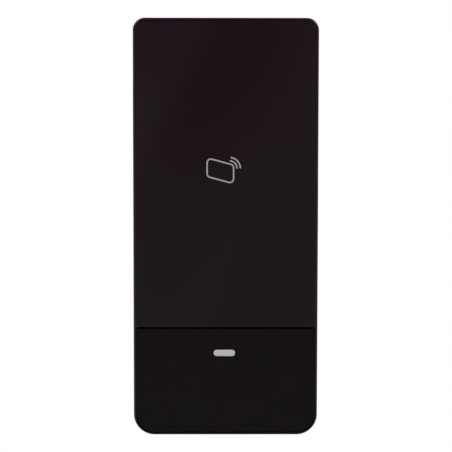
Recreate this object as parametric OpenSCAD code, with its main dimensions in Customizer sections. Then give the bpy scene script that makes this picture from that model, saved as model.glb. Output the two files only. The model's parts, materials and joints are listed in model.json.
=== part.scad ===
// Wall-mounted RFID card reader, in millimetres.
// The wall is the plane y = 0 and the front faces -Y. X runs to the right, Z runs up.
// The origin is on the wall, at the centre of the pattern of the wall screws.
// Depths are distances in front of the wall, so a depth d is the plane y = -d.

/* [Case] */
// Width of the case
body_w = 52; // [51:0.5:56]
// Height of the case
body_h = 117.6; // [116:0.2:124]
// Depth of the case in front of the wall
body_d = 17.5; // [17.5:0.1:19]
// Wall thickness of both case shells
wall_t = 2; // [1.8:0.1:2]
// Radius of the two upper corners
top_r = 3.4; // [3:0.1:5]
// Radius of the two lower corners
bottom_r = 5.9; // [5:0.1:6.6]
// Rounding of the front edge
edge_r = 1.1; // [0.8:0.1:1.2]

/* [Lower cover] */
// Height of the gap above the cover
split_z = -28.2; // [-29:0.1:-28]
// Width of the gap above the cover
gap_w = 0.46; // [0.3:0.02:0.6]
// Width of the case's rim around the cover
rim_w = 0.65; // [0.6:0.05:0.8]
// Width of the seam between rim and cover
seam_w = 0.3; // [0.2:0.05:0.3]
// Thickness of the cover's plate
cover_t = 2; // [1.6:0.1:2]
// Radius of the cover's push-fit pegs
peg_r = 1.5; // [1.2:0.1:1.6]

/* [Front markings] */
// How far right of the middle the status light and the symbol lie
mark_x = -0.35; // [-1:0.05:1]

/* [Status light] */
// Width of the light lens
lens_w = 6.15; // [5:0.05:7]
// Height of the light lens
lens_h = 1.86; // [1.6:0.01:2.2]
// Height of the lens' centre
lens_z = -35.3; // [-36:0.1:-35]

/* [Reading symbol] */
// Width of the line that the symbol is printed with
ink_w = 0.4; // [0.35:0.05:0.8]
// Thickness of the print
ink_t = 0.04; // [0.02:0.01:0.1]
// Width of the symbol's card
symbol_w = 7.4; // [6:0.1:9]
// Height of the symbol's card
symbol_h = 5.2; // [4:0.1:6]
// Fall of the card's long edges over its width
symbol_fall = 2; // [0:0.1:2.4]

/* [Wall plate] */
// Thickness of the steel wall plate
plate_t = 1.5; // [1.2:0.1:1.5]
// Width of the wall plate
plate_w = 46.4; // [44:0.1:46.4]
// Width of the cable window
window_w = 26; // [22:0.5:26]
// Height of the cable window
window_h = 20; // [16:0.5:20]
// Distance between the two round wall-screw holes
hole_spacing = 60; // [60:0.1:62]
// Distance between the two wall-screw slots
slot_spacing = 83.3; // [83:0.1:83.6]
// Radius of the wall-screw holes, and half the width of the slots
wall_screw_r = 2.1; // [1.8:0.05:2.2]
// Length of the wall-screw slots from end to end
slot_l = 7; // [5:0.1:7]

/* [Fixing screw] */
// Height of the screw that locks the reader to the plate
screw_z = -49.5; // [-49.8:0.1:-49.4]
// Radius of the screw's thread
screw_r = 1.45; // [1.2:0.05:1.5]

/* [Circuit board] */
// Width of the main board
pcb_w = 45; // [44:0.5:45]
// Thickness of the main board
pcb_t = 1.6; // [1:0.1:1.6]
// Width of the antenna board
antenna_w = 33; // [30:0.5:33]
// Height of the antenna board
antenna_h = 67; // [60:0.5:68]

/* [Hidden] */
$fn = 48;
eps = 0.01;
slack = 0.1;

// Depths of the case, from the wall to the front
skirt_d = 0.4;
hook_d = 3.2;
back_d = 4.3;
back_inner_d = 6;
part_d = 6.8;
front_inner_d = body_d - wall_t;
tongue_d = 8.4;
pcb_rear_d = 8.6;
pcb_front_d = pcb_rear_d + pcb_t;
floor_rear_d = 10.8;
floor_front_d = 12.2;
cover_rear_d = body_d - cover_t;
land_d = cover_rear_d - slack;
antenna_front_d = front_inner_d - 0.3;
antenna_rear_d = antenna_front_d - 0.8;

// Heights
top_z = body_h / 2;
bottom_z = -body_h / 2;
recess_top_z = split_z + gap_w / 2;
cover_top_z = split_z - gap_w / 2;
cavity_bottom_z = recess_top_z + 2.06;
cover_inset = rim_w + seam_w;
well_inset = 3;
well_top_z = -29.5;

// Snap-in hooks at the top of the wall plate
hook_x = 13;
hook_w = 6;
hook_z = 53.2;
bead_r = 0.8;
hook_t = 1;
plate_top_z = 50.8;
plate_bottom_z = -54;
plate_corner_r = 4;

// Case screws, board screws and cover pegs, each as [x, z] on the right-hand side
top_screw = [20.6, hook_z];
low_screw = [20.4, -45.5];
board_screws = [[19.8, 30], [19.8, -20]];
pegs = [[20.2, -33], [19.4, -51.6]];
boss_r = 2.6;
peg_boss_r = 3;
case_screw_r = 1.05;
case_head_r = 2;
case_head_h = 1.3;
case_screw_tip_d = 11.3;
board_screw_r = 0.85;
board_head_r = 1.8;
board_head_h = 1.2;
board_boss_r = 2.4;
board_screw_tip_d = 13.8;

// Cup and tube round the fixing screw
cup_r = 4.6;
cup_bore_r = 3.4;
cup_floor_d = 7.6;
head_seat_d = 8.6;
tube_bore_r = 3.3;
screw_head_r = 2.75;
screw_head_h = 1.8;
screw_tip_d = 0.5;
washer_d = 3.7;
washer_t = 0.8;
washer_r = 2.9;
groove_r = 1.15;
nut_r = 2.6;
nut_depth = 3.1;

// Wiring pocket in the back of the case
pocket_w = 27;
pocket_h = 18;
pocket_wall = 1.2;

// Tamper plunger
tamper_x = 15;
tamper_z = 24;
plunger_r = 1.6;
plunger_travel = 1;
flange_r = 2.4;
flange_rear_d = back_inner_d + plunger_travel + 0.05;
flange_front_d = 7.6;
pin_r = 0.8;

// Main board and what sits on it
pcb_top_z = 50;
pcb_bottom_z = -40.5;
antenna_z = 15.5;
block_w = 24.5;
block_h = 7;
block_rear_d = 2.6;
block_z = 4.5;
poles = 7;
pole_pitch = block_w / poles;

// Colours
gloss_black = [0.11, 0.085, 0.105];
matte_black = [0.08, 0.075, 0.078];
light_grey = [0.67, 0.67, 0.68];
zinc = [0.75, 0.76, 0.78];
board_green = [0.06, 0.28, 0.16];
chip_black = [0.13, 0.13, 0.14];
gold = [0.83, 0.68, 0.35];

// A flat shape in the X-Z plane, made solid between two depths
module slab(from_d, to_d) {
  translate([0, -from_d, 0])
    rotate([90, 0, 0])
      linear_extrude(to_d - from_d)
        children();
}

// A round pin or hole that runs from front to back
module y_pin(r, from_d, to_d, x = 0, z = 0) {
  translate([x, -from_d, z])
    rotate([90, 0, 0])
      cylinder(r = r, h = to_d - from_d);
}

// The same thing at every place of a list, on the left and on the right
module both_sides(places) {
  for (side = [-1, 1])
    for (p = places)
      translate([side * p[0], 0, p[1]])
        children();
}

// A rectangle with round corners, from two opposite corners
module round_rect(x0, z0, x1, z1, r) {
  translate([x0 + r, z0]) square([x1 - x0 - 2 * r, z1 - z0]);
  translate([x0, z0 + r]) square([x1 - x0, z1 - z0 - 2 * r]);
  for (x = [x0 + r, x1 - r])
    for (z = [z0 + r, z1 - r])
      translate([x, z]) circle(r = r);
}

// A pill at the place of the status light, flat on its long sides and half-round at its ends
module pill(w, h) {
  round_w = w - h;
  translate([mark_x, lens_z]) {
    square([round_w, h], center = true);
    for (side = [-1, 1])
      translate([side * round_w / 2, 0]) circle(r = h / 2);
  }
}

// The case's outline, moved inwards
module outline(inset) {
  rt = max(top_r - inset, 0.5);
  rb = max(bottom_r - inset, 0.5);
  half_w = body_w / 2 - inset;
  top = top_z - inset;
  bottom = bottom_z + inset;
  translate([-half_w, bottom + rb]) square([2 * half_w, top - bottom - rt - rb]);
  translate([-half_w + rt, top - rt - rb]) square([2 * (half_w - rt), rt + rb]);
  translate([-half_w + rb, bottom]) square([2 * (half_w - rb), 2 * rb]);
  for (side = [-1, 1]) {
    translate([side * (half_w - rt), top - rt]) circle(r = rt);
    translate([side * (half_w - rb), bottom + rb]) circle(r = rb);
  }
}

module outline_ring(outer, inner) {
  difference() {
    outline(outer);
    outline(inner);
  }
}

module outline_above(inset, z) {
  intersection() {
    outline(inset);
    translate([-body_w, z]) square([2 * body_w, body_h]);
  }
}

module outline_below(inset, z) {
  intersection() {
    outline(inset);
    translate([-body_w, z - body_h]) square([2 * body_w, body_h]);
  }
}

// The case's front, with its rounded edge
module rounded_front(from_d) {
  hull()
    for (a = [0 : 22.5 : 90])
      slab(from_d, body_d - edge_r * (1 - sin(a)))
        outline(edge_r * (1 - cos(a)));
}

// A cross recess in the head of a screw, open towards the wall
module cross_recess(from_d, to_d, across, slot) {
  slab(from_d, to_d) {
    square([across, slot], center = true);
    square([slot, across], center = true);
  }
}

module mounting_plate() {
  color(zinc)
    difference() {
      union() {
        slab(0, plate_t)
          round_rect(-plate_w / 2, plate_bottom_z, plate_w / 2, plate_top_z, plate_corner_r);
        for (side = [-1, 1])
          translate([side * hook_x, 0, 0])
            plate_hook();
      }
      slab(-1, plate_t + 1)
        round_rect(-window_w / 2, -window_h / 2, window_w / 2, window_h / 2, 2);
      for (side = [-1, 1]) {
        y_pin(wall_screw_r, -1, plate_t + 1, 0, side * hole_spacing / 2);
        slab(-1, plate_t + 1)
          wall_slot(side * slot_spacing / 2);
      }
      y_pin(flange_r, -1, plate_t + 1, tamper_x, tamper_z);
      y_pin(screw_r + 0.25, -1, nut_depth, 0, screw_z);
      y_pin(nut_r - 0.5, -1, plate_t + 1, 0, screw_z);
    }
}

// One hook: a shelf, an upright and the bead that the reader hangs on
module plate_hook() {
  shelf_d = hook_d + hook_t / 2;
  translate([-hook_w / 2, -shelf_d, plate_top_z - hook_t])
    cube([hook_w, shelf_d - plate_t + eps, hook_t]);
  translate([-hook_w / 2, -shelf_d, plate_top_z - hook_t])
    cube([hook_w, hook_t, hook_z - plate_top_z + hook_t]);
  translate([-hook_w / 2, -hook_d, hook_z])
    rotate([0, 90, 0])
      cylinder(r = bead_r, h = hook_w);
}

module wall_slot(z) {
  round_h = slot_l - 2 * wall_screw_r;
  translate([-wall_screw_r, z - round_h / 2]) square([2 * wall_screw_r, round_h]);
  for (side = [-1, 1])
    translate([0, z + side * round_h / 2]) circle(r = wall_screw_r);
}

module plate_nut() {
  color(zinc)
    difference() {
      union() {
        y_pin(nut_r - 0.5 - 0.02, 0.05, plate_t, 0, screw_z);
        y_pin(nut_r, plate_t, nut_depth, 0, screw_z);
      }
      y_pin(screw_r + 0.25, -1, nut_depth + 1, 0, screw_z);
    }
}

module front_housing() {
  color(gloss_black)
    difference() {
      union() {
        difference() {
          rounded_front(part_d + slack);
          slab(part_d, front_inner_d) outline_above(wall_t, cavity_bottom_z);
          slab(part_d, floor_rear_d) outline(wall_t);
          slab(land_d, body_d + 1) outline_below(rim_w, recess_top_z);
          slab(floor_front_d, land_d + eps) outline_below(well_inset, well_top_z);
        }
        front_bosses();
      }
      y_pin(cup_bore_r, head_seat_d, body_d, 0, screw_z);
      y_pin(screw_r + 0.35, part_d, body_d, 0, screw_z);
      both_sides(pegs) y_pin(peg_r + slack, floor_front_d - 0.8, body_d);
      both_sides([top_screw]) y_pin(case_screw_r + slack, part_d, 14);
      both_sides([low_screw]) y_pin(case_screw_r + slack, part_d, floor_front_d - 0.5);
      both_sides(board_screws) y_pin(board_screw_r + slack, part_d, 14.5);
      slab(floor_rear_d - 1, floor_front_d + 1) pill(7, 2.6);
    }
}

// Bosses inside the front shell, each a little way into the wall that carries it
module front_bosses() {
  rib_w = 1.6;
  boss_rear_d = pcb_rear_d + 0.3;
  y_pin(cup_r, cup_floor_d, floor_front_d, 0, screw_z);
  both_sides(pegs) y_pin(peg_boss_r, floor_rear_d, land_d);
  both_sides([top_screw]) {
    y_pin(boss_r, boss_rear_d, front_inner_d + eps);
    translate([0, -front_inner_d, -rib_w / 2])
      cube([body_w / 2 - wall_t / 2 - top_screw[0], front_inner_d - boss_rear_d, rib_w]);
  }
  both_sides([low_screw]) y_pin(boss_r, boss_rear_d, floor_front_d - eps);
  both_sides(board_screws) y_pin(board_boss_r, pcb_front_d, front_inner_d + eps);
}

module rear_housing() {
  post_d = pcb_rear_d + 0.2;
  color(matte_black)
    difference() {
      union() {
        slab(skirt_d, part_d) outline_ring(0, wall_t);
        slab(back_d, back_inner_d) outline(wall_t / 2);
        slab(back_inner_d - eps, tongue_d) outline_ring(wall_t + 0.15, wall_t + 1.3);
        slab(back_inner_d - eps, part_d) outline_ring(wall_t / 2, wall_t + 0.5);
        slab(back_inner_d - eps, pcb_rear_d - slack)
          square([pocket_w + 2 * pocket_wall, pocket_h + 2 * pocket_wall], center = true);
        y_pin(cup_r - slack, back_inner_d - eps, cup_floor_d - slack, 0, screw_z);
        both_sides([top_screw, low_screw]) y_pin(boss_r, back_inner_d - eps, post_d);
        for (side = [-1, 1])
          translate([side * hook_x, 0, 0])
            hook_cradle();
      }
      slab(part_d - 0.7, part_d + 1) outline_ring(0.8, 1.6);
      slab(0, pcb_rear_d) square([pocket_w, pocket_h], center = true);
      y_pin(tube_bore_r, 0, cup_floor_d, 0, screw_z);
      both_sides([top_screw, low_screw]) y_pin(case_screw_r + 0.25, 0, pcb_rear_d + 1);
      y_pin(plunger_r + slack, 0, back_inner_d + 1, tamper_x, tamper_z);
      y_pin(0.6, 0, back_inner_d + 1, -tamper_x, tamper_z);
      top_relief();
    }
}

// Seat that hangs on one hook of the wall plate, open downwards
module hook_cradle() {
  cradle_w = 8;
  seat_r = bead_r + slack;
  lip_z = 51.6;
  lip_rear_d = 1.7;
  difference() {
    translate([-cradle_w / 2, -back_d - eps, lip_z])
      cube([cradle_w, back_d - lip_rear_d, top_z - wall_t - lip_z + eps]);
    translate([-cradle_w / 2 - 1, -back_d, lip_z - 1])
      cube([cradle_w + 2, back_d - hook_d + seat_r, hook_z - lip_z + 1]);
    translate([-cradle_w / 2 - 1, -hook_d, hook_z])
      rotate([0, 90, 0])
        cylinder(r = seat_r, h = cradle_w + 2);
  }
}

// Slope along the top of the rear edge, so that the case can swing without touching the wall
module top_relief() {
  relief = 1.2;
  relief_start_z = 38;
  translate([-body_w, 0, 0])
    rotate([90, 0, 90])
      linear_extrude(2 * body_w)
        polygon([
          [1, relief_start_z], [-skirt_d, relief_start_z],
          [-skirt_d - relief, top_z + 1], [1, top_z + 1]
        ]);
}

module housing_gasket() {
  color([0.2, 0.2, 0.21])
    slab(part_d - 0.7, part_d + slack) outline_ring(0.85, 1.55);
}

module housing_screws() {
  color(zinc)
    both_sides([top_screw, low_screw])
      difference() {
        union() {
          y_pin(case_head_r, back_d - case_head_h, back_d);
          y_pin(case_screw_r, back_d - eps, case_screw_tip_d);
        }
        cross_recess(0, back_d - case_head_h + 0.8, 2.2, 0.5);
      }
}

module wiring_seal() {
  seal_w = 2.5;
  color([0.16, 0.16, 0.17])
    slab(plate_t + 0.05, back_d)
      difference() {
        square([pocket_w + 1 + 2 * seal_w, pocket_h + 3 + 2 * seal_w], center = true);
        square([pocket_w + 1, pocket_h + 3], center = true);
      }
}

module vent_membrane() {
  color([0.9, 0.9, 0.88])
    y_pin(2, back_inner_d, back_inner_d + 0.2, -tamper_x, tamper_z);
}

module lower_cover() {
  collar_d = cover_rear_d - 1.4;
  color(matte_black)
    difference() {
      union() {
        intersection() {
          rounded_front(cover_rear_d);
          slab(cover_rear_d - 1, body_d + 1) outline_below(cover_inset, cover_top_z);
        }
        both_sides(pegs) y_pin(peg_r, floor_front_d - 0.4, cover_rear_d + eps);
        slab(collar_d, cover_rear_d + eps) pill(lens_w + 4.4, lens_h + 4.4);
      }
      slab(collar_d - 1, cover_rear_d) pill(lens_w + 2, lens_h + 2);
      slab(collar_d, body_d + 1) pill(lens_w + slack, lens_h + slack);
    }
}

module led_lens() {
  color(light_grey)
    union() {
      slab(cover_rear_d - eps, body_d) pill(lens_w, lens_h);
      slab(cover_rear_d - 0.6, cover_rear_d) pill(lens_w + 1.9, lens_h + 1.9);
      slab(floor_front_d + 0.8, cover_rear_d - 0.6 + eps) pill(lens_w - 0.8, lens_h - 0.3);
    }
}

module led_window() {
  color([0.85, 0.88, 0.9])
    union() {
      slab(floor_rear_d, floor_front_d + eps) pill(6.9, 2.5);
      slab(floor_front_d, floor_front_d + 0.6) pill(9, 4.4);
    }
}

// A slanted card with two radio waves at its upper right corner
module card_symbol() {
  centre = [mark_x - 1.17, 16.2];
  corner_r = 1.05;
  wave_centre = [mark_x + 1.36, 16.9];
  waves = [[2.1, 82], [3.05, 80]];
  color(light_grey)
    slab(body_d, body_d + ink_t) {
      translate(centre)
        difference() {
          symbol_card(corner_r, corner_r + ink_w / 2);
          symbol_card(corner_r, corner_r - ink_w / 2);
        }
      for (wave = waves)
        translate(wave_centre)
          symbol_wave(wave[0], wave[1]);
    }
}

// A parallelogram that falls to the right, with discs of the given radius at its corners.
// Its middle line has corners of corner_r.
module symbol_card(corner_r, disc_r) {
  slope = symbol_fall / symbol_w;
  half_w = symbol_w / 2 - corner_r;
  half_h = symbol_h / 2 - corner_r * sqrt(1 + slope * slope);
  hull()
    for (x = [-half_w, half_w])
      for (z = [-half_h, half_h])
        translate([x, z - slope * x])
          circle(r = disc_r);
}

// An arc from near the right-hand side up to the given angle, with round ends
module symbol_wave(wave_r, angle) {
  start = 3;
  intersection() {
    difference() {
      circle(r = wave_r + ink_w / 2);
      circle(r = wave_r - ink_w / 2);
    }
    rotate(start) square(2 * wave_r);
    rotate(angle - 90) square(2 * wave_r);
  }
  for (a = [start, angle])
    translate([wave_r * cos(a), wave_r * sin(a)]) circle(r = ink_w / 2);
}

module fixing_screw() {
  lobes = 6;
  head_d = head_seat_d + screw_head_h;
  color(zinc)
    translate([0, 0, screw_z]) {
      difference() {
        union() {
          y_pin(screw_head_r, head_seat_d, head_d);
          y_pin(screw_r, screw_tip_d, head_seat_d + eps);
        }
        y_pin(1.05, head_d - 1.2, head_d + 1);
        for (i = [0 : lobes - 1])
          y_pin(0.32, head_d - 1.2, head_d + 1, 1.05 * cos(60 * i), 1.05 * sin(60 * i));
        difference() {
          y_pin(screw_r + 1, washer_d - 0.05, washer_d + washer_t + 0.05);
          y_pin(groove_r, 0, head_seat_d);
        }
      }
      y_pin(0.4, head_d - 1.2 - eps, head_d - 0.3);
    }
}

// Split ring in the screw's groove: it keeps the screw in the case when it is undone
module captive_washer() {
  color([0.3, 0.3, 0.32])
    translate([0, 0, screw_z])
      difference() {
        y_pin(washer_r, washer_d, washer_d + washer_t);
        y_pin(groove_r + 0.05, washer_d - 1, washer_d + washer_t + 1);
        translate([-groove_r + 0.15, -washer_d - washer_t - 1, -washer_r - 1])
          cube([2 * groove_r - 0.3, washer_t + 2, washer_r + 1]);
      }
}

module tamper_plunger() {
  color([0.85, 0.85, 0.82])
    union() {
      y_pin(plunger_r, 0.05, flange_rear_d + eps, tamper_x, tamper_z);
      y_pin(flange_r, flange_rear_d, flange_front_d, tamper_x, tamper_z);
      y_pin(pin_r, flange_front_d - eps, 9.4, tamper_x, tamper_z);
    }
}

module tamper_switch() {
  switch_w = 6;
  switch_rear_d = flange_front_d + slack;
  color(chip_black)
    difference() {
      translate([tamper_x - switch_w / 2, -pcb_rear_d, tamper_z - switch_w / 2])
        cube([switch_w, pcb_rear_d - switch_rear_d, switch_w]);
      y_pin(pin_r + 0.15, 0, pcb_front_d, tamper_x, tamper_z);
    }
}

module main_pcb() {
  color(board_green)
    difference() {
      slab(pcb_rear_d, pcb_front_d)
        round_rect(-pcb_w / 2, pcb_bottom_z, pcb_w / 2, pcb_top_z, 1);
      both_sides(board_screws) y_pin(board_screw_r + 0.35, 0, body_d);
      y_pin(pin_r + 0.2, 0, body_d, tamper_x, tamper_z);
    }
}

module pcb_screws() {
  color(zinc)
    both_sides(board_screws)
      difference() {
        union() {
          y_pin(board_head_r, pcb_rear_d - board_head_h, pcb_rear_d);
          y_pin(board_screw_r, pcb_rear_d - eps, board_screw_tip_d);
        }
        cross_recess(0, pcb_rear_d - board_head_h + 0.7, 2, 0.45);
      }
}

module antenna_board() {
  color(board_green)
    slab(antenna_rear_d, antenna_front_d)
      round_rect(
        -antenna_w / 2, antenna_z - antenna_h / 2,
        antenna_w / 2, antenna_z + antenna_h / 2, 1.5
      );
}

// One copper track wound inwards as a rectangular spiral
module antenna_coil() {
  turns = 5;
  pitch = 1.3;
  track = 0.7;
  half_w = antenna_w / 2 - 1.2;
  half_h = antenna_h / 2 - 1.2;
  color(gold)
    slab(antenna_front_d, antenna_front_d + slack)
      translate([0, antenna_z])
        for (t = [0 : turns - 1]) {
          x = half_w - t * pitch;
          z = half_h - t * pitch;
          start_z = t == 0 ? z : z + pitch;
          coil_track([-x, -start_z], [-x, z], track);
          coil_track([-x, z], [x, z], track);
          coil_track([x, z], [x, -z], track);
          coil_track([x, -z], [-x + (t < turns - 1 ? pitch : 6), -z], track);
        }
}

module coil_track(a, b, track) {
  low = [min(a[0], b[0]) - track / 2, min(a[1], b[1]) - track / 2];
  high = [max(a[0], b[0]) + track / 2, max(a[1], b[1]) + track / 2];
  translate(low) square(high - low);
}

module ferrite_sheet() {
  color([0.22, 0.21, 0.2])
    slab(antenna_rear_d - 0.35, antenna_rear_d - 0.05)
      translate([-13, -10]) square([26, 44]);
}

module antenna_header() {
  pins = 4;
  pitch = 2;
  color(gold)
    translate([-(pins - 1) * pitch / 2, 0, 42])
      for (i = [0 : pins - 1])
        translate([i * pitch, 0, 0]) {
          slab(pcb_front_d, pcb_front_d + 1.6) square(1.9, center = true);
          slab(pcb_front_d + 1.5, antenna_rear_d) square(0.5, center = true);
        }
}

module reader_chip() {
  color(chip_black)
    slab(pcb_front_d, pcb_front_d + 0.9)
      translate([0, 14]) square(6, center = true);
}

module controller_chip() {
  leads = 11;
  lead_pitch = 0.8;
  color(chip_black)
    translate([0, 0, -6]) {
      slab(pcb_front_d + 0.1, pcb_front_d + 1.5) square(10, center = true);
      for (turn = [0 : 90 : 270])
        rotate([0, turn, 0])
          for (i = [0 : leads - 1])
            slab(pcb_front_d, pcb_front_d + 0.5)
              translate([(i - (leads - 1) / 2) * lead_pitch, 5.4]) square([0.36, 1.2], center = true);
    }
}

module crystal() {
  color([0.78, 0.78, 0.76])
    slab(pcb_front_d, pcb_front_d + 0.9)
      round_rect(6.5, 10, 11.5, 13.2, 0.6);
}

module power_inductor() {
  color([0.3, 0.3, 0.3])
    union() {
      slab(pcb_front_d, pcb_front_d + 0.6) round_rect(-14.5, -17.5, -8.5, -11.5, 1);
      y_pin(2.7, pcb_front_d + 0.5, pcb_front_d + 2.8, -11.5, -14.5);
    }
}

module tantalum_capacitors() {
  color([0.82, 0.58, 0.12])
    for (z = [-20, -14])
      slab(pcb_front_d, pcb_front_d + 2.8)
        translate([8, z]) square([7.3, 4.3]);
}

module chip_passives() {
  color([0.55, 0.45, 0.35])
    for (row = [0 : 3])
      for (column = [0 : 6])
        slab(pcb_front_d, pcb_front_d + 0.5)
          translate([-13.5 + 1.8 * column, 19 + 2.4 * row]) square([0.8, 1.6]);
}

module status_leds() {
  color([0.95, 0.93, 0.8])
    for (x = [-2, 0, 2])
      slab(pcb_front_d, floor_rear_d - 0.1)
        translate([mark_x + x, lens_z]) square([1.2, 1.2], center = true);
}

module buzzer() {
  color(chip_black)
    difference() {
      y_pin(4.5, pcb_front_d, pcb_front_d + 3, 8.5, 30);
      y_pin(0.8, pcb_front_d + 2.2, pcb_front_d + 4, 8.5, 30);
    }
}

module terminal_block() {
  color([0.1, 0.32, 0.2])
    difference() {
      translate([-block_w / 2, -pcb_rear_d, block_z - block_h / 2])
        cube([block_w, pcb_rear_d - block_rear_d, block_h]);
      for (i = [0 : poles - 1]) {
        x = (i - (poles - 1) / 2) * pole_pitch;
        y_pin(1.4, 0, block_rear_d + 2.2, x, block_z + 0.8);
        translate([x, -5.8, block_z - block_h / 2 - 1])
          cylinder(r = 1, h = 3.4);
      }
    }
}

module terminal_screws() {
  color(zinc)
    for (i = [0 : poles - 1])
      translate([(i - (poles - 1) / 2) * pole_pitch, 0, block_z + 0.8])
        difference() {
          y_pin(1.3, block_rear_d + 0.4, block_rear_d + 2.2);
          slab(0, block_rear_d + 1) square([3, 0.5], center = true);
        }
}

mounting_plate();
plate_nut();
front_housing();
rear_housing();
housing_gasket();
housing_screws();
wiring_seal();
vent_membrane();
lower_cover();
led_lens();
led_window();
card_symbol();
fixing_screw();
captive_washer();
tamper_plunger();
tamper_switch();
main_pcb();
pcb_screws();
antenna_board();
antenna_coil();
ferrite_sheet();
antenna_header();
reader_chip();
controller_chip();
crystal();
power_inductor();
tantalum_capacitors();
chip_passives();
status_leds();
buzzer();
terminal_block();
terminal_screws();
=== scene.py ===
"""Looks of a wall-mounted card reader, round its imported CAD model. Metres, +Z up, the front faces -Y."""

import json
from math import cos, pi, radians, sin

import bmesh
import bpy
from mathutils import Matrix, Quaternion, Vector


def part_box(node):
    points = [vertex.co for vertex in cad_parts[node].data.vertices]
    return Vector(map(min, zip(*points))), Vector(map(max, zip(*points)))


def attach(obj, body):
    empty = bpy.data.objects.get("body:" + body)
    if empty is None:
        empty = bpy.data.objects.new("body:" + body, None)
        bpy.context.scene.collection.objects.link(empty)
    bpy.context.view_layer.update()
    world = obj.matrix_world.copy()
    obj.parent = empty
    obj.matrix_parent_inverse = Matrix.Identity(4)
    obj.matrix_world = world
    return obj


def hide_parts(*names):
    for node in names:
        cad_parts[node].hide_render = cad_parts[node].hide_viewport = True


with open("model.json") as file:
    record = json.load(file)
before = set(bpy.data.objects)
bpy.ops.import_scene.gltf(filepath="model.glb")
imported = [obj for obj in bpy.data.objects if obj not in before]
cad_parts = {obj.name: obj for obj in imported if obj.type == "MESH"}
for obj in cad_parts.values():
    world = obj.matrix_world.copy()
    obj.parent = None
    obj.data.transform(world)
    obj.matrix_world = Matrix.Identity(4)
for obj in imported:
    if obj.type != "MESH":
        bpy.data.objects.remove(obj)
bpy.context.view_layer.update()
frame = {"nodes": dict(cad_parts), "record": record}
NODES = frame["nodes"]
MM = 0.001

# ---------------------------------------------------------------- places, from the frame

SHELL_LOW, SHELL_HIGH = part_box("front_housing")
COVER_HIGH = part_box("lower_cover")[1]
LENS_LOW, LENS_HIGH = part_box("led_lens")
SCREW_LOW, SCREW_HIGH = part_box("fixing_screw")

HALF_W = SHELL_HIGH.x
TOP_Z = SHELL_HIGH.z
BOTTOM_Z = SHELL_LOW.z
FRONT_Y = SHELL_LOW.y
SHELL_BACK_Y = SHELL_HIGH.y
COVER_INSET = HALF_W - COVER_HIGH.x
LENS_X = (LENS_LOW.x + LENS_HIGH.x) / 2
LENS_Z = (LENS_LOW.z + LENS_HIGH.z) / 2
SCREW_Z = (SCREW_LOW.z + SCREW_HIGH.z) / 2

# ---------------------------------------------------------------- sizes of the three pieces made here

# Front shell
WALL = 2.0 * MM
TOP_R = 3.4 * MM
BOTTOM_R = 5.9 * MM
EDGE_R = 1.1 * MM
MIN_CORNER_R = 0.5 * MM
RIM_W = 0.65 * MM
GAP_W = 0.46 * MM
MOUTH_R = 0.28 * MM
MOUTH_FLARE = 0.12 * MM

# Lower cover
COVER_T = 2.0 * MM
COVER_EDGE_R = 0.22 * MM
COVER_BACK_Y = FRONT_Y + COVER_T
COLLAR_T = 1.4 * MM
COLLAR_GROWTH = 4.4 * MM
COLLAR_BORE_GROWTH = 2.0 * MM
PEG_PLACES = [(20.2 * MM, -33.0 * MM), (19.4 * MM, -51.6 * MM)]
PEG_R = 1.5 * MM
PEG_END_R = 0.4 * MM
CLEARANCE = 0.1 * MM

# Inside of the front shell
RECESS_TOP_Z = COVER_HIGH.z + GAP_W
LAND_Y = COVER_BACK_Y + CLEARANCE
FLOOR_FRONT_Y = -12.2 * MM
FLOOR_BACK_Y = -10.8 * MM
WELL_INSET = 3.0 * MM
WELL_TOP_Z = -29.5 * MM
CAVITY_BOTTOM_Z = RECESS_TOP_Z + 2.06 * MM
CUP_R = 4.6 * MM
CUP_BACK_Y = -7.6 * MM
CUP_BORE_R = 3.4 * MM
CUP_FLOOR_Y = -8.6 * MM
SCREW_HOLE_R = 1.8 * MM
WINDOW_W = 7.0 * MM
WINDOW_H = 2.6 * MM
BOSS_R = 3.0 * MM
PEG_TIP_Y = FLOOR_FRONT_Y + 0.4 * MM
SOCKET_END_Y = FLOOR_FRONT_Y + 0.8 * MM

# Light lens
LENS_W = 6.15 * MM
LENS_H = 1.86 * MM
LENS_EDGE_R = 0.15 * MM
FLANGE_T = 0.6 * MM
FLANGE_GROWTH = 1.9 * MM
STEM_W = LENS_W - 0.8 * MM
STEM_H = LENS_H - 0.3 * MM

# Solids that are joined reach this far into each other, and cutters run this far past what they cut
OVERLAP = 0.01 * MM
BEYOND = 1.0 * MM

ARC_STEPS = 20
FILLET_STEPS = 10
MOUTH_STEPS = 6
ROUND_STEPS = 48

SHARP_ANGLE = 32
BEVEL_ANGLE = 40

# ---------------------------------------------------------------- outlines and solids


def arc(cx, cz, r, start, end, steps=ARC_STEPS):
    """Points of a circular arc in the X-Z plane, from start to end in degrees."""
    angles = [radians(start + (end - start) * i / steps) for i in range(steps + 1)]
    return [(cx + r * cos(a), cz + r * sin(a)) for a in angles]


def rounded_outline(x0, z0, x1, z1, r_low, r_high):
    """A rectangle with round corners, anticlockwise seen from the front. Its radii below and above differ."""
    return (
        arc(x1 - r_low, z0 + r_low, r_low, -90, 0)
        + arc(x1 - r_high, z1 - r_high, r_high, 0, 90)
        + arc(x0 + r_high, z1 - r_high, r_high, 90, 180)
        + arc(x0 + r_low, z0 + r_low, r_low, 180, 270)
    )


def case_outline(inset, low=None, high=None):
    """The case's outline moved inwards, and cut off below low or above high where they are given."""
    z0 = BOTTOM_Z + inset if low is None else low
    z1 = TOP_Z - inset if high is None else high
    r_low = max(BOTTOM_R - inset, MIN_CORNER_R) if low is None else MIN_CORNER_R
    r_high = max(TOP_R - inset, MIN_CORNER_R) if high is None else MIN_CORNER_R
    half = HALF_W - inset
    return rounded_outline(-half, z0, half, z1, r_low, r_high)


def pill_outline(w, h):
    """A pill round the light lens' centre."""
    r = h / 2
    return arc(LENS_X + w / 2 - r, LENS_Z, r, -90, 90) + arc(LENS_X - w / 2 + r, LENS_Z, r, 90, 270)


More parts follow.
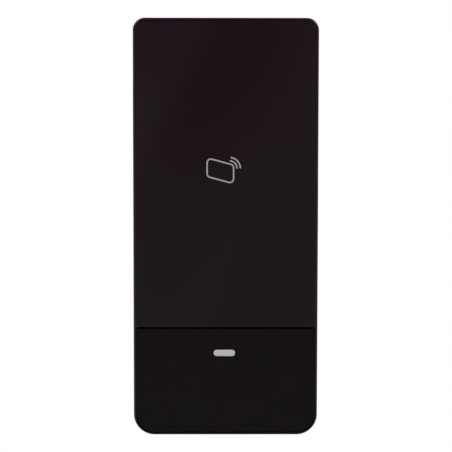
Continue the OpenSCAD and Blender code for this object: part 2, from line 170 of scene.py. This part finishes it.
def lens_outline(growth):
    """The light lens' pill, wider and higher by growth."""
    return pill_outline(LENS_W + growth, LENS_H + growth)


def circle_outline(x, z, r):
    return arc(x, z, r, 0, 360 * (ROUND_STEPS - 1) / ROUND_STEPS, ROUND_STEPS - 1)


def at_depth(outline, y):
    return [(x, y, z) for x, z in outline]


def loft(rings):
    """A closed solid through rings of equally many points, with flat ends."""
    bm = bmesh.new()
    loops = [[bm.verts.new(p) for p in ring] for ring in rings]
    count = len(loops[0])
    for a, b in zip(loops, loops[1:]):
        for i in range(count):
            j = (i + 1) % count
            bm.faces.new((a[i], a[j], b[j], b[i]))
    bm.faces.new(loops[0])
    bm.faces.new(loops[-1])
    bmesh.ops.remove_doubles(bm, verts=bm.verts, dist=1e-7)
    bmesh.ops.recalc_face_normals(bm, faces=bm.faces)
    mesh = bpy.data.meshes.new("solid")
    bm.to_mesh(mesh)
    bm.free()
    return bpy.data.objects.new("solid", mesh)


def prism(outline, y0, y1):
    return loft([at_depth(outline, y0), at_depth(outline, y1)])


def pin(x, z, r, y0, y1):
    return prism(circle_outline(x, z, r), y0, y1)


def combine(base, others, operation):
    """Joins the other solids to base or cuts them out of it, and leaves only base."""
    scene = bpy.context.scene
    for o in [base, *others]:
        if o.name not in scene.collection.objects:
            scene.collection.objects.link(o)
    for other in others:
        step = base.modifiers.new("step", "BOOLEAN")
        step.operation = operation
        step.solver = "EXACT"
        step.object = other
    bpy.context.view_layer.update()
    done = base.evaluated_get(bpy.context.evaluated_depsgraph_get())
    mesh = bpy.data.meshes.new_from_object(done)
    base.modifiers.clear()
    base.data = mesh
    for other in others:
        bpy.data.objects.remove(other)


def cut(base, *others):
    combine(base, others, "DIFFERENCE")


def join(base, *others):
    combine(base, others, "UNION")


def tidy_mesh(obj):
    """Merges what the cuts left doubled, and shades smoothly except across sharp edges."""
    bm = bmesh.new()
    bm.from_mesh(obj.data)
    bmesh.ops.remove_doubles(bm, verts=bm.verts, dist=1e-6)
    bmesh.ops.dissolve_degenerate(bm, edges=bm.edges, dist=1e-6)
    for f in bm.faces:
        f.smooth = True
    for e in bm.edges:
        e.smooth = len(e.link_faces) == 2 and e.calc_face_angle(0) < radians(SHARP_ANGLE)
    bm.to_mesh(obj.data)
    bm.free()
    weigh = obj.modifiers.new("weighted", "WEIGHTED_NORMAL")
    weigh.keep_sharp = True
    return obj


def piece(obj, name, body, slot_name, node_name):
    """Names a finished piece, parents it to the empty of the body it rides on, gives it its finish and hides
    the CAD node it replaces.
    """
    obj.name = name
    obj.data.name = name
    if name not in bpy.context.scene.collection.objects:
        bpy.context.scene.collection.objects.link(obj)
    obj.data.materials.clear()
    obj.data.materials.append(MATERIALS[slot_name])
    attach(obj, body)
    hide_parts(node_name)


def fillet_rings(outline_at, r, from_y, to_y, steps=FILLET_STEPS):
    """Rings of a solid whose edge at to_y is rounded. outline_at(inset) gives its outline."""
    out = 1 if to_y > from_y else -1
    rings = [at_depth(outline_at(0), from_y)]
    for k in range(steps + 1):
        a = pi / 2 * k / steps
        rings.append(at_depth(outline_at(r * (1 - cos(a))), to_y - out * r * (1 - sin(a))))
    return rings


# ---------------------------------------------------------------- materials


class Nodes:
    """Short calls for building one material's node tree."""

    def __init__(self, name):
        self.material = bpy.data.materials.new(name)
        self.material.use_nodes = True
        self.tree = self.material.node_tree
        self.tree.nodes.clear()
        self.out = self.add("ShaderNodeOutputMaterial")
        self.shader = self.add("ShaderNodeBsdfPrincipled")
        self.link(self.shader.outputs["BSDF"], self.out.inputs["Surface"])
        self.coords = self.add("ShaderNodeTexCoord").outputs["Object"]

    def add(self, kind, **settings):
        node = self.tree.nodes.new(kind)
        for key, value in settings.items():
            setattr(node, key, value)
        return node

    def link(self, a, b):
        self.tree.links.new(a, b)

    def noise(self, size, detail=3.0, roughness=0.55, stretch=(1, 1, 1)):
        """Noise whose features are about size metres across."""
        place = self.add("ShaderNodeMapping")
        place.inputs["Scale"].default_value = [s / size for s in stretch]
        self.link(self.coords, place.inputs["Vector"])
        tex = self.add("ShaderNodeTexNoise")
        tex.inputs["Scale"].default_value = 1.0
        tex.inputs["Detail"].default_value = detail
        tex.inputs["Roughness"].default_value = roughness
        self.link(place.outputs["Vector"], tex.inputs["Vector"])
        return tex.outputs["Fac"]

    def remap(self, value, low, high, from_low=0.3, from_high=0.7):
        """Maps a value to between low and high. Noise lies mostly between 0.3 and 0.7."""
        node = self.add("ShaderNodeMapRange")
        node.inputs["From Min"].default_value = from_low
        node.inputs["From Max"].default_value = from_high
        node.inputs["To Min"].default_value = low
        node.inputs["To Max"].default_value = high
        self.link(value, node.inputs["Value"])
        return node.outputs["Result"]

    def mix(self, factor, a, b):
        """Blends two colours, each a tuple or another node's output."""
        node = self.add("ShaderNodeMix", data_type="RGBA")
        self.link(factor, node.inputs["Factor"])
        for value, name in ((a, "A"), (b, "B")):
            socket = [s for s in node.inputs if s.name == name and s.type == "RGBA"][0]
            if isinstance(value, tuple):
                socket.default_value = (*value, 1.0)
            else:
                self.link(value, socket)
        return [s for s in node.outputs if s.type == "RGBA"][0]

    def calculate(self, operation, a, b):
        node = self.add("ShaderNodeMath", operation=operation)
        self.link(a, node.inputs[0])
        self.link(b, node.inputs[1])
        return node.outputs["Value"]

    def bump(self, height, distance, strength, under=None):
        node = self.add("ShaderNodeBump")
        node.inputs["Distance"].default_value = distance
        node.inputs["Strength"].default_value = strength
        self.link(height, node.inputs["Height"])
        if under is not None:
            self.link(under, node.inputs["Normal"])
        return node.outputs["Normal"]

    def edges(self, radius, patch):
        """1 along sharp outer edges and 0 elsewhere, broken up into patches."""
        rounded = self.add("ShaderNodeBevel", samples=4)
        rounded.inputs["Radius"].default_value = radius
        bend = self.add("ShaderNodeVectorMath", operation="DOT_PRODUCT")
        self.link(rounded.outputs["Normal"], bend.inputs[0])
        self.link(self.add("ShaderNodeNewGeometry").outputs["Normal"], bend.inputs[1])
        edge = self.remap(bend.outputs["Value"], 1.0, 0.0, from_low=0.75, from_high=0.97)
        return self.calculate("MULTIPLY", edge, self.remap(self.noise(patch, detail=5.0), 0.2, 1.0))

    def set(self, **values):
        """Sets or links sockets of the shader. An underscore stands for a space."""
        for key, value in values.items():
            socket = self.shader.inputs[key.replace("_", " ")]
            if isinstance(value, bpy.types.NodeSocket):
                self.link(value, socket)
            elif socket.type == "RGBA":
                socket.default_value = (*value, 1.0)
            else:
                socket.default_value = value
        return self.material


def gloss_black(name):
    """High-gloss plastic: near-black with a purple cast, faint moulding waves and a trace of handling."""
    n = Nodes(name)
    tint = n.mix(n.remap(n.noise(18 * MM), 0.0, 1.0), (0.0126, 0.0048, 0.0096), (0.0118, 0.0056, 0.0094))
    waves = n.bump(n.noise(9 * MM, detail=1.0), 0.0015 * MM, 0.5)
    polish = n.bump(n.noise(0.5 * MM, detail=2.0), 0.0002 * MM, 0.3, under=waves)
    return n.set(
        Base_Color=tint, Roughness=n.remap(n.noise(12 * MM, detail=5.0), 0.05, 0.09),
        IOR=1.5, Normal=polish,
    )


def textured_black(name, colour_a, colour_b, grain, depth, rough, worn=None):
    """Plastic with a spark-eroded grain and, where worn is given, edges that handling has polished."""
    n = Nodes(name)
    tint = n.mix(n.remap(n.noise(6 * MM, detail=4.0), 0.0, 1.0), colour_a, colour_b)
    if worn:
        tint = n.mix(n.edges(0.3 * MM, 2 * MM), tint, worn)
    fine = n.noise(grain, detail=4.0, roughness=0.65)
    return n.set(
        Base_Color=tint, IOR=1.42, Roughness=n.remap(n.noise(grain * 4), *rough),
        Normal=n.bump(fine, depth, 0.8),
    )


def milky_lens(name):
    """Light-diffusing plastic, a little translucent."""
    n = Nodes(name)
    tint = n.mix(n.remap(n.noise(1.5 * MM), 0.0, 1.0), (0.74, 0.74, 0.75), (0.80, 0.80, 0.81))
    return n.set(
        Base_Color=tint, Roughness=n.remap(n.noise(0.6 * MM), 0.28, 0.36), IOR=1.5,
        Subsurface_Weight=0.3, Subsurface_Radius=(0.6 * MM, 0.6 * MM, 0.6 * MM), Subsurface_Scale=1.0,
        Normal=n.bump(n.noise(0.2 * MM), 0.002 * MM, 0.3),
    )


def screen_print(name):
    """Screen-printed ink, slightly mottled and grainy."""
    n = Nodes(name)
    tint = n.mix(n.remap(n.noise(0.4 * MM), 0.0, 1.0), (0.51, 0.50, 0.52), (0.56, 0.55, 0.57))
    return n.set(
        Base_Color=tint, Roughness=0.45, IOR=1.48,
        Normal=n.bump(n.noise(0.08 * MM), 0.002 * MM, 0.4),
    )


def metal(name, colour_a, colour_b, patch, rough, brushed=(1, 1, 1), worn=None):
    """Metal with a patchy finish, fine rolling marks and, where worn is given, rubbed edges."""
    n = Nodes(name)
    tint = n.mix(n.remap(n.noise(patch, detail=5.0), 0.0, 1.0), colour_a, colour_b)
    if worn:
        tint = n.mix(n.edges(0.25 * MM, 1.5 * MM), tint, worn)
    marks = n.noise(patch / 8, detail=4.0, stretch=brushed)
    return n.set(
        Base_Color=tint, Metallic=1.0, Roughness=n.remap(marks, *rough),
        Normal=n.bump(marks, 0.001 * MM, 0.5),
    )


def plain(name, colour_a, colour_b, patch, rough, grain, depth):
    """Plastic, rubber, foam or ceramic with a mottled colour and a fine grain."""
    n = Nodes(name)
    tint = n.mix(n.remap(n.noise(patch, detail=4.0), 0.0, 1.0), colour_a, colour_b)
    fine = n.noise(grain, detail=4.0)
    return n.set(Base_Color=tint, Roughness=n.remap(fine, *rough), Normal=n.bump(fine, depth, 0.6))


def circuit_board(name, mask, track, pad):
    """Solder mask over tracks that run up and down in some patches and across in others, with vias."""
    # Sizes in millimetres, and the values between which each shape fades into the mask
    patch_size = 7.0
    via_spacing = 3.2
    track_rate = 0.38
    track_edge = (0.70, 0.80)
    patch_edge = (0.40, 0.42)
    via_edge = (0.09, 0.11)
    turn_edge = (0.49, 0.51)
    n = Nodes(name)
    place = n.add("ShaderNodeMapping")
    place.inputs["Scale"].default_value = (1 / MM, 1 / MM, 1 / MM)
    n.link(n.coords, place.inputs["Vector"])
    patches = n.add("ShaderNodeTexVoronoi", distance="CHEBYCHEV")
    vias = n.add("ShaderNodeTexVoronoi")
    for cells, size in ((patches, patch_size), (vias, via_spacing)):
        cells.inputs["Scale"].default_value = 1 / size
        n.link(place.outputs["Vector"], cells.inputs["Vector"])
    runs = []
    for across in ("X", "Z"):
        lines = n.add("ShaderNodeTexWave", bands_direction=across)
        lines.inputs["Scale"].default_value = track_rate
        n.link(place.outputs["Vector"], lines.inputs["Vector"])
        runs.append(n.remap(lines.outputs["Fac"], 0.0, 1.0, *track_edge))
    turn = n.remap(patches.outputs["Color"], 0.0, 1.0, *turn_edge)
    inside = n.remap(patches.outputs["Distance"], 1.0, 0.0, *patch_edge)
    shown = n.calculate("MULTIPLY", n.mix(turn, *runs), inside)
    via = n.remap(vias.outputs["Distance"], 1.0, 0.0, *via_edge)
    tint = n.mix(via, n.mix(shown, mask, track), pad)
    return n.set(
        Base_Color=tint, Roughness=n.remap(n.noise(2 * MM), 0.22, 0.34), IOR=1.55,
        Normal=n.bump(n.calculate("MAXIMUM", shown, via), 0.02 * MM, 0.6),
    )


def clear_moulding(name):
    """Clear plastic with a slightly uneven polish."""
    n = Nodes(name)
    return n.set(
        Base_Color=(0.85, 0.88, 0.9), Roughness=n.remap(n.noise(1 * MM), 0.05, 0.12), IOR=1.58,
        Transmission_Weight=0.85,
    )


GREY_STEEL = (0.50, 0.51, 0.53)

# For each material slot of the record: the function that makes its material, and what it is given
FINISHES = {
    "gloss_black_shell": (gloss_black,),
    "matt_black_shell": (
        textured_black, (0.010, 0.0095, 0.010), (0.013, 0.012, 0.013), 0.22 * MM, 0.02 * MM, (0.5, 0.62),
        (0.024, 0.023, 0.024)),
    "matt_black_cover": (
        textured_black, (0.0049, 0.0019, 0.0028), (0.0057, 0.0025, 0.0034), 0.12 * MM, 0.006 * MM,
        (0.40, 0.48)),
    "diffuser_plastic": (milky_lens,),
    "printed_ink": (screen_print,),
    "clear_plastic": (clear_moulding,),
    "zinc_plated_steel": (
        metal, (0.55, 0.57, 0.60), (0.68, 0.68, 0.68), 7 * MM, (0.26, 0.42), (1, 1, 0.08),
        (0.80, 0.80, 0.79)),
    "screw_steel": (metal, GREY_STEEL, (0.62, 0.60, 0.55), 1.5 * MM, (0.22, 0.4)),
    "stainless_screw": (metal, (0.58, 0.57, 0.55), (0.66, 0.65, 0.62), 2 * MM, (0.18, 0.32)),
    "spring_steel": (metal, (0.09, 0.09, 0.10), (0.15, 0.14, 0.13), 1 * MM, (0.35, 0.5)),
    "can_metal": (metal, GREY_STEEL, (0.6, 0.6, 0.58), 1 * MM, (0.25, 0.35), (1, 1, 0.1)),
    "copper_track": (metal, (0.70, 0.38, 0.20), (0.78, 0.46, 0.25), 2 * MM, (0.2, 0.35)),
    "gold_contact": (metal, (0.78, 0.56, 0.22), (0.84, 0.64, 0.30), 1 * MM, (0.15, 0.3)),
    "seal_rubber": (
        plain, (0.028, 0.028, 0.03), (0.036, 0.036, 0.038), 2 * MM, (0.55, 0.7), 0.1 * MM, 0.004 * MM),
    "foam_seal": (
        plain, (0.014, 0.014, 0.015), (0.03, 0.03, 0.031), 0.6 * MM, (0.8, 0.95), 0.25 * MM, 0.08 * MM),
    "vent_film": (
        plain, (0.76, 0.76, 0.74), (0.82, 0.82, 0.8), 1 * MM, (0.7, 0.9), 0.06 * MM, 0.004 * MM),
    "white_plastic": (
        plain, (0.66, 0.66, 0.61), (0.72, 0.72, 0.67), 2 * MM, (0.35, 0.5), 0.15 * MM, 0.003 * MM),
    "chip_plastic": (
        plain, (0.014, 0.014, 0.016), (0.02, 0.02, 0.021), 1 * MM, (0.5, 0.65), 0.08 * MM, 0.004 * MM),
    "ferrite": (
        plain, (0.034, 0.032, 0.03), (0.05, 0.047, 0.045), 1.5 * MM, (0.45, 0.7), 0.1 * MM, 0.006 * MM),
    "tantalum_yellow": (
        plain, (0.64, 0.36, 0.045), (0.72, 0.42, 0.06), 2 * MM, (0.3, 0.42), 0.1 * MM, 0.003 * MM),
    "ceramic_tan": (
        plain, (0.26, 0.19, 0.13), (0.34, 0.25, 0.17), 1 * MM, (0.4, 0.55), 0.06 * MM, 0.003 * MM),
    "led_resin": (
        plain, (0.82, 0.77, 0.5), (0.88, 0.83, 0.6), 0.6 * MM, (0.12, 0.25), 0.1 * MM, 0.001 * MM),
    "terminal_green": (
        plain, (0.008, 0.095, 0.045), (0.012, 0.115, 0.055), 3 * MM, (0.35, 0.5), 0.12 * MM, 0.004 * MM),
    "antenna_laminate": (
        plain, (0.005, 0.055, 0.024), (0.008, 0.07, 0.03), 5 * MM, (0.24, 0.36), 0.4 * MM, 0.003 * MM),
    "solder_mask": (circuit_board, (0.006, 0.075, 0.03), (0.018, 0.135, 0.05), (0.55, 0.55, 0.52)),
}
MATERIALS = {slot: make(slot, *given) for slot, (make, *given) in FINISHES.items()}

# ---------------------------------------------------------------- front shell


def recess_cutter():
    """The pocket that the cover sits in. Its mouth flares, so the edge of the gap is rounded."""

    def ring(y, k):
        return at_depth(case_outline(RIM_W - MOUTH_FLARE * k, high=RECESS_TOP_Z + MOUTH_R * k), y)

    rings = [ring(LAND_Y, 0)]
    for i in range(MOUTH_STEPS + 1):
        a = pi / 2 * i / MOUTH_STEPS
        rings.append(ring(FRONT_Y + MOUTH_R * (1 - sin(a)), 1 - cos(a)))
    rings.append(ring(FRONT_Y - BEYOND, 1))
    return loft(rings)


def mirrored_pegs():
    """Where the cover's four pegs and their sockets are."""
    return [(side * x, z) for side in (-1, 1) for x, z in PEG_PLACES]


def front_shell():
    """The glossy shell: open at the back, with the recess, the screw's cup, the window and the sockets."""
    shell = loft(fillet_rings(case_outline, EDGE_R, SHELL_BACK_Y, FRONT_Y))
    behind = SHELL_BACK_Y + BEYOND
    cut(
        shell,
        prism(case_outline(WALL, low=CAVITY_BOTTOM_Z), FRONT_Y + WALL, behind),
        prism(case_outline(WALL), FLOOR_BACK_Y, behind),
        recess_cutter(),
        prism(case_outline(WELL_INSET, high=WELL_TOP_Z), LAND_Y - OVERLAP, FLOOR_FRONT_Y),
    )
    cup = pin(0, SCREW_Z, CUP_R, FLOOR_FRONT_Y + OVERLAP, CUP_BACK_Y)
    bosses = [pin(x, z, BOSS_R, LAND_Y, FLOOR_BACK_Y) for x, z in mirrored_pegs()]
    join(shell, cup, *bosses)
    sockets = [pin(x, z, PEG_R + CLEARANCE, FRONT_Y, SOCKET_END_Y) for x, z in mirrored_pegs()]
    cut(
        shell,
        pin(0, SCREW_Z, CUP_BORE_R, FRONT_Y, CUP_FLOOR_Y),
        pin(0, SCREW_Z, SCREW_HOLE_R, FRONT_Y, SHELL_BACK_Y),
        prism(pill_outline(WINDOW_W, WINDOW_H), FRONT_Y, FLOOR_BACK_Y + BEYOND),
        *sockets,
    )
    return tidy_mesh(shell)


# ---------------------------------------------------------------- lower cover and lens


def peg(x, z):
    """A push-fit peg of the cover, with a rounded end."""

    def outline(inset):
        return circle_outline(x, z, PEG_R - inset)

    return loft(fillet_rings(outline, PEG_END_R, COVER_BACK_Y - OVERLAP, PEG_TIP_Y, steps=4))


def cover():
    """The matt cover: a plate with a softened edge, a collar round the lens and four pegs."""

    def outline(inset):
        return case_outline(COVER_INSET + inset, high=COVER_HIGH.z - inset)

    plate = loft(fillet_rings(outline, COVER_EDGE_R, COVER_BACK_Y, FRONT_Y, steps=5))
    collar_back = COVER_BACK_Y + COLLAR_T
    collar = prism(lens_outline(COLLAR_GROWTH), COVER_BACK_Y - OVERLAP, collar_back)
    join(plate, collar, *[peg(x, z) for x, z in mirrored_pegs()])
    cut(
        plate,
        prism(lens_outline(COLLAR_BORE_GROWTH), COVER_BACK_Y, collar_back + BEYOND),
        prism(lens_outline(CLEARANCE), FRONT_Y - BEYOND, COVER_BACK_Y + BEYOND),
    )
    return tidy_mesh(plate)


def lens():
    """The light pipe: a pill with a softened face, a flange behind the cover and a stem to the diodes."""
    flange_back = COVER_BACK_Y + FLANGE_T
    stem = pill_outline(STEM_W, STEM_H)
    flange = lens_outline(FLANGE_GROWTH)
    rings = [
        at_depth(stem, LENS_HIGH.y),
        at_depth(stem, flange_back),
        at_depth(flange, flange_back),
        at_depth(flange, COVER_BACK_Y),
    ]

    def outline(inset):
        return lens_outline(-2 * inset)

    rings += fillet_rings(outline, LENS_EDGE_R, COVER_BACK_Y, FRONT_Y, steps=5)
    return tidy_mesh(loft(rings))


piece(front_shell(), "front_shell", "reader", "gloss_black_shell", "front_housing")
piece(cover(), "cover_plate", "cover", "matt_black_cover", "lower_cover")
piece(lens(), "light_pipe", "cover", "diffuser_plastic", "led_lens")

# ---------------------------------------------------------------- CAD nodes that stay


def smooth_by_angle():
    """A geometry node group that shades smoothly except across sharp edges."""
    group = bpy.data.node_groups.new("smooth_by_angle", "GeometryNodeTree")
    group.interface.new_socket("Geometry", in_out="INPUT", socket_type="NodeSocketGeometry")
    group.interface.new_socket("Geometry", in_out="OUTPUT", socket_type="NodeSocketGeometry")
    start = group.nodes.new("NodeGroupInput")
    end = group.nodes.new("NodeGroupOutput")
    angle = group.nodes.new("GeometryNodeInputMeshEdgeAngle")
    over = group.nodes.new("FunctionNodeCompare")
    over.data_type = "FLOAT"
    over.operation = "GREATER_THAN"
    over.inputs[1].default_value = radians(SHARP_ANGLE)
    faces = group.nodes.new("GeometryNodeSetShadeSmooth")
    edges = group.nodes.new("GeometryNodeSetShadeSmooth")
    edges.domain = "EDGE"
    edges.inputs["Shade Smooth"].default_value = False
    group.links.new(angle.outputs["Unsigned Angle"], over.inputs[0])
    group.links.new(start.outputs[0], faces.inputs["Geometry"])
    group.links.new(faces.outputs[0], edges.inputs["Geometry"])
    group.links.new(over.outputs[0], edges.inputs["Selection"])
    group.links.new(edges.outputs[0], end.inputs[0])
    return group


SMOOTH = smooth_by_angle()

# How wide the softened edges of each node are, in millimetres
EDGE_WIDTHS = {
    "mounting_plate": 0.18, "plate_nut": 0.12, "rear_housing": 0.15, "housing_screws": 0.1,
    "wiring_seal": 0.15, "fixing_screw": 0.1, "captive_washer": 0.06, "tamper_plunger": 0.1,
    "tamper_switch": 0.08, "main_pcb": 0.04, "pcb_screws": 0.08, "antenna_board": 0.04,
    "reader_chip": 0.06, "controller_chip": 0.03, "crystal": 0.08, "power_inductor": 0.1,
    "tantalum_capacitors": 0.12, "chip_passives": 0.04, "status_leds": 0.05, "buzzer": 0.15,
    "terminal_block": 0.12, "terminal_screws": 0.06, "led_window": 0.08,
}


def dress(node, material, edge_width):
    """Gives a CAD node its material, and softens its edges with modifiers only."""
    node.data.materials.clear()
    node.data.materials.append(material)
    weld = node.modifiers.new("weld", "WELD")
    weld.merge_threshold = 1e-6
    shade = node.modifiers.new("shade", "NODES")
    shade.node_group = SMOOTH
    if edge_width:
        bevel = node.modifiers.new("edges", "BEVEL")
        bevel.width = edge_width * MM
        bevel.segments = 3
        bevel.limit_method = "ANGLE"
        bevel.angle_limit = radians(BEVEL_ANGLE)
        bevel.harden_normals = True


SLOT_OF = {s["node"]: s["material_slot"] for s in frame["record"]["subparts"]}
for node_name, node in NODES.items():
    dress(node, MATERIALS[SLOT_OF[node_name]], EDGE_WIDTHS.get(node_name, 0))

# ---------------------------------------------------------------- world, lights, floor

# Brightness of the room that the reader reflects: from front to back, and the share of it from low to high
ROOM_DEPTH = ((-1, 0.055), (0, 0.22), (1, 0.30))
ROOM_HEIGHT = ((0.1, 1.0), (0.5, 0.25))

# Soft streaks over the front: place and brightness along a line that leans by so many degrees
STREAK_LEAN = 62
STREAKS = (
    (-0.40, 0.0), (-0.075, 0.02), (-0.042, 0.11), (-0.018, 0.0),
    (0.01, 0.02), (0.052, 0.065), (0.085, 0.0), (0.40, 0.0),
)

# A faint cast that runs from low to high, and a glow at both sides
TINTS = ((-0.15, (0.065, 0.085, 0.080)), (0.06, (0.035, 0.005, 0.018)))
SIDE_GLOW = ((-0.06, 0.05), (-0.033, 0.0), (0.045, 0.0), (0.072, 0.05))

FLOOR_RADIUS = 0.8
FLOOR_DROP = 0.45


def make_world():
    """White behind everything for the camera, and a dim studio with soft slanting streaks for reflections."""
    world = bpy.data.worlds.new("studio")
    bpy.context.scene.world = world
    world.use_nodes = True
    tree = world.node_tree
    tree.nodes.clear()
    add, link = tree.nodes.new, tree.links.new
    direction = add("ShaderNodeTexCoord").outputs["Generated"]

    def along(axis):
        dot = add("ShaderNodeVectorMath")
        dot.operation = "DOT_PRODUCT"
        dot.inputs[1].default_value = axis
        link(direction, dot.inputs[0])
        return dot.outputs["Value"]

    def ramp(value, stops):
        """A smooth run of colours over a value. Each stop is the value and its grey or its colour."""
        low, high = stops[0][0], stops[-1][0]
        place = add("ShaderNodeMapRange")
        place.inputs["From Min"].default_value = low
        place.inputs["From Max"].default_value = high
        link(value, place.inputs["Value"])
        colours = add("ShaderNodeValToRGB")
        colours.color_ramp.interpolation = "EASE"
        elements = colours.color_ramp.elements
        while len(elements) < len(stops):
            elements.new(0.5)
        for element, (at, colour) in zip(elements, stops):
            element.position = (at - low) / (high - low)
            element.color = (*colour, 1) if isinstance(colour, tuple) else (colour, colour, colour, 1)
        link(place.outputs["Result"], colours.inputs["Fac"])
        return colours.outputs["Color"]

    def blend(kind, a, b):
        node = add("ShaderNodeMix")
        node.data_type = "RGBA"
        node.blend_type = kind
        node.inputs["Factor"].default_value = 1.0
        for value, socket in zip((a, b), [i for i in node.inputs if i.type == "RGBA"]):
            link(value, socket)
        return [o for o in node.outputs if o.type == "RGBA"][0]

    lean = radians(STREAK_LEAN)
    room = blend("MULTIPLY", ramp(along((0, 1, 0)), ROOM_DEPTH), ramp(along((0, 0, 1)), ROOM_HEIGHT))
    streaks = ramp(along((sin(lean), 0, -cos(lean))), STREAKS)
    tint = ramp(along((0, 0, 1)), TINTS)
    glow = ramp(along((1, 0, 0)), SIDE_GLOW)
    shown = blend("ADD", blend("ADD", room, streaks), blend("ADD", tint, glow))
    reflected = add("ShaderNodeBackground")
    link(shown, reflected.inputs["Color"])
    seen = add("ShaderNodeBackground")
    seen.inputs["Color"].default_value = (1, 1, 1, 1)
    pick = add("ShaderNodeMixShader")
    link(add("ShaderNodeLightPath").outputs["Is Camera Ray"], pick.inputs["Fac"])
    link(reflected.outputs[0], pick.inputs[1])
    link(seen.outputs[0], pick.inputs[2])
    link(pick.outputs[0], add("ShaderNodeOutputWorld").inputs["Surface"])


def soft_light(name, place, size, power, shows=True):
    """A softbox that points at the reader. Where shows is false, gloss doesn't reflect it."""
    data = bpy.data.lights.new(name, "AREA")
    data.shape = "RECTANGLE"
    data.size, data.size_y = size
    data.energy = power
    light = bpy.data.objects.new(name, data)
    light.location = place
    light.rotation_mode = "QUATERNION"
    light.rotation_quaternion = (-Vector(place)).to_track_quat("-Z", "Y")
    light.visible_camera = False
    light.visible_glossy = shows
    bpy.context.scene.collection.objects.link(light)


def make_floor():
    """A pale floor, round and well below the reader, which hangs on its wall."""
    bm = bmesh.new()
    bmesh.ops.create_circle(bm, cap_ends=True, segments=96, radius=FLOOR_RADIUS)
    mesh = bpy.data.meshes.new("floor")
    bm.to_mesh(mesh)
    bm.free()
    floor = bpy.data.objects.new("floor", mesh)
    floor.location = (0, 0, BOTTOM_Z - FLOOR_DROP)
    bpy.context.scene.collection.objects.link(floor)
    n = Nodes("pale_floor")
    tint = n.mix(n.remap(n.noise(0.2), 0.0, 1.0), (0.34, 0.34, 0.335), (0.38, 0.38, 0.375))
    n.set(Base_Color=tint, Roughness=0.8)
    glow = n.add("ShaderNodeEmission")
    rays = n.add("ShaderNodeLightPath")
    pick = n.add("ShaderNodeMixShader")
    n.link(rays.outputs["Is Camera Ray"], pick.inputs["Fac"])
    n.link(n.shader.outputs[0], pick.inputs[1])
    n.link(glow.outputs[0], pick.inputs[2])
    n.link(pick.outputs[0], n.out.inputs["Surface"])
    mesh.materials.append(n.material)


make_world()
make_floor()

# Name, place and size in metres, power in watts
soft_light("fill_upper_left", (-0.8, -1.0, 0.9), (0.7, 0.7), 9.8, shows=False)
soft_light("fill_upper_right", (0.9, -0.9, 0.6), (0.7, 0.7), 5.6, shows=False)
soft_light("rim_left", (-1.0, 0.1, 0.95), (0.5, 0.8), 3)
soft_light("rim_right", (1.0, 0.2, 0.85), (0.5, 0.8), 3)
soft_light("behind_left", (-0.6, 0.9, 0.7), (1.5, 1.5), 6)
soft_light("behind_right", (0.7, 0.8, 0.6), (1.5, 1.5), 4)

# ---------------------------------------------------------------- camera

# Metres and degrees. The camera aims just off the middle of the front
DISTANCE = 0.42
ELEVATION = 4.44
TURN = -0.42
ROLL = 0.07
AIM_RIGHT = 0.08 * MM
AIM_UP = 0.7 * MM
AIM = Vector((AIM_RIGHT, FRONT_Y, (TOP_Z + BOTTOM_Z) / 2 + AIM_UP))
SEEN_HALF_HEIGHT = 63.45 * MM


def make_camera():
    """A long lens straight in front and a little above, framed on the whole reader."""
    data = bpy.data.cameras.new("camera")
    cam = bpy.data.objects.new("camera", data)
    bpy.context.scene.collection.objects.link(cam)
    e, turn = radians(ELEVATION), radians(TURN)
    back = Vector((sin(turn) * cos(e), -cos(turn) * cos(e), sin(e)))
    cam.location = Vector((0, FRONT_Y, 0)) + back * DISTANCE
    cam.rotation_mode = "QUATERNION"
    level = (AIM - cam.location).to_track_quat("-Z", "Y")
    cam.rotation_quaternion = level @ Quaternion((0, 0, 1), radians(ROLL))
    data.lens = data.sensor_width / 2 / (SEEN_HALF_HEIGHT / DISTANCE)
    data.clip_start = 0.01
    bpy.context.scene.camera = cam


make_camera()
bpy.context.scene.view_settings.view_transform = "Standard"
